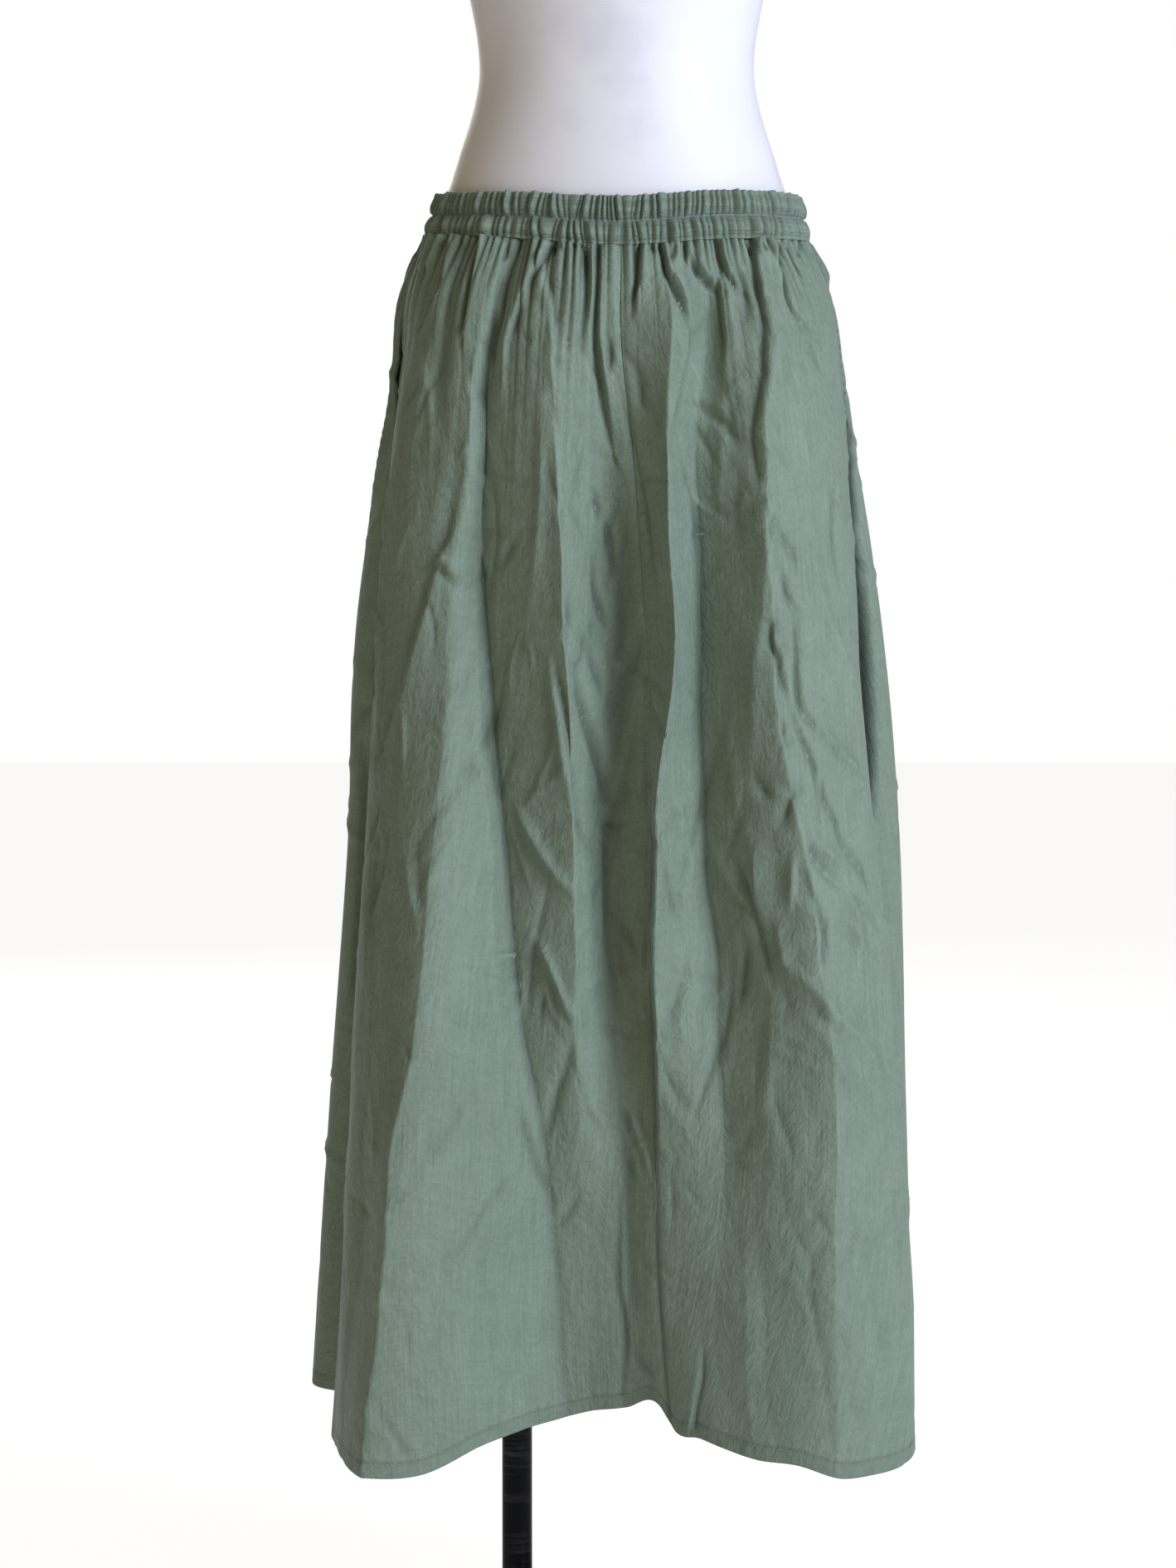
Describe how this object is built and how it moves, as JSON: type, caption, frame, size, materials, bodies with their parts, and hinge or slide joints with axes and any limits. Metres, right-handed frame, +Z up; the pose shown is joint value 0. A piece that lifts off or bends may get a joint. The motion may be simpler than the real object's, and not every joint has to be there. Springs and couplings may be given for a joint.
{
  "type": "a-line skirt on a limbless dress form",
  "caption": "Ankle-length a-line skirt with a gathered elastic waistband, centre seam and side-seam pockets, standing on a limbless dress form with a pole and round base.",
  "frame": {"origin": "centre of the base plate's underside, on the floor", "axes": "+Z up along the pole and the form, the shown front of the skirt faces -Y, +X is to the right seen from the front"},
  "size_m": [0.4513, 0.4265, 1.6323],
  "materials": {
    "sage_cloth": "plain-weave cotton and linen, sage green, matt with a slight sheen and packed-fold creases",
    "form_shell": "satin pale lilac grey with faint mottling",
    "cap_grey": "satin grey",
    "pole_black": "gloss black paint",
    "base_black": "satin black powder coat"
  },
  "bodies": {
    "root": {"skirt_front_left": "sage_cloth", "skirt_front_right": "sage_cloth", "skirt_back": "sage_cloth", "waistband": "sage_cloth", "pocket_bag_left": "sage_cloth", "pocket_bag_right": "sage_cloth", "form_torso": "form_shell", "form_neck_cap": "cap_grey", "form_socket": "pole_black", "stand_pole": "pole_black", "stand_collar": "pole_black", "stand_base": "base_black"}
  },
  "joints": []
}
